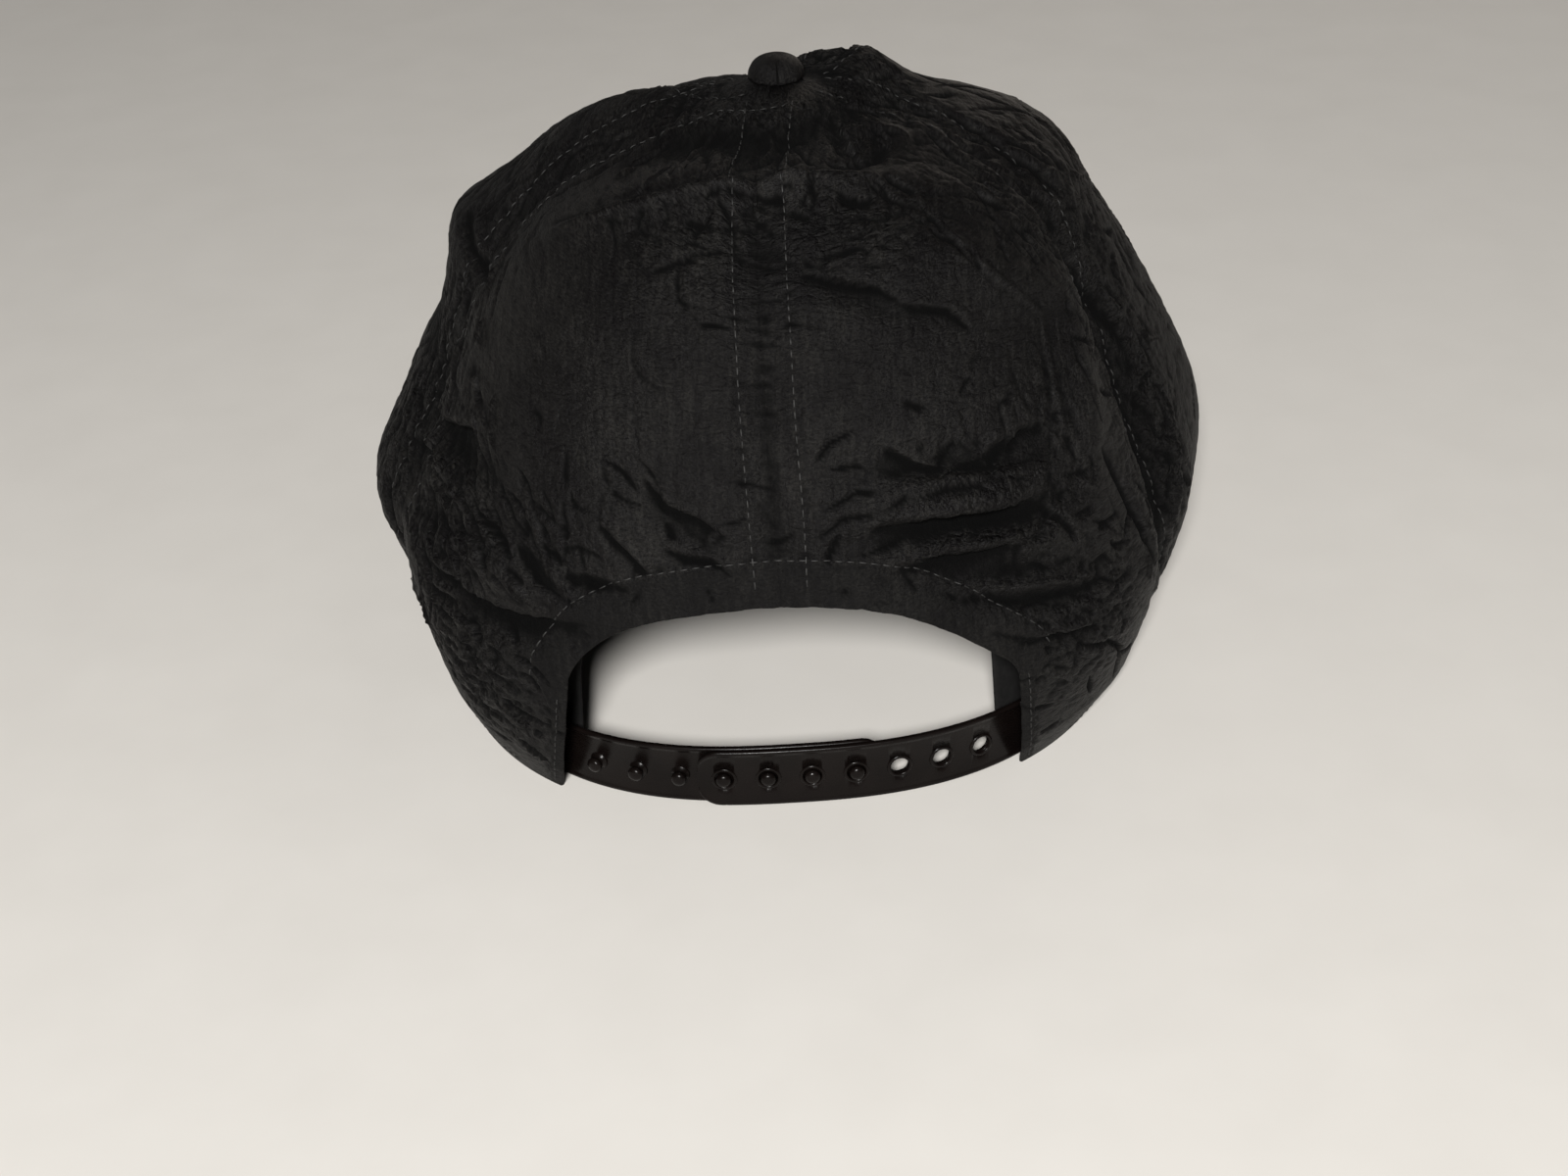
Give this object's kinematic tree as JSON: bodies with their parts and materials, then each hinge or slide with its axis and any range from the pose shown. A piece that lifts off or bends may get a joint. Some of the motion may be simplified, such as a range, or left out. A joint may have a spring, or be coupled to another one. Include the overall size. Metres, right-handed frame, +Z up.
{
  "type": "snapback cap",
  "caption": "Soft panelled cap with an arched brim, a covered top button and a plastic snap strap across an arched rear opening that adjusts the fit.",
  "frame": {"origin": "on the floor under the middle of the bounding box", "axes": "+Z up, -Y out through the brim, +X to the wearer's left"},
  "size_m": [0.2028, 0.2736, 0.143],
  "materials": {
    "crown_nylon": "matt crinkled nylon",
    "button_nylon": "matt nylon stretched over a button",
    "brim_cloth": "matt cloth in stitched rows",
    "sweatband_cloth": "matt brushed cotton",
    "strap_plastic": "moulded, glossy"
  },
  "bodies": {
    "root": {"crown_panel_back_left": "crown_nylon", "crown_panel_side_left": "crown_nylon", "crown_panel_front_left": "crown_nylon", "crown_panel_front_right": "crown_nylon", "crown_panel_side_right": "crown_nylon", "crown_panel_back_right": "crown_nylon", "top_button": "button_nylon", "brim_top": "brim_cloth", "brim_under": "brim_cloth", "sweatband": "sweatband_cloth", "snap_strap_pegs": "strap_plastic", "snap_strap_holes": "strap_plastic"}
  },
  "joints": []
}
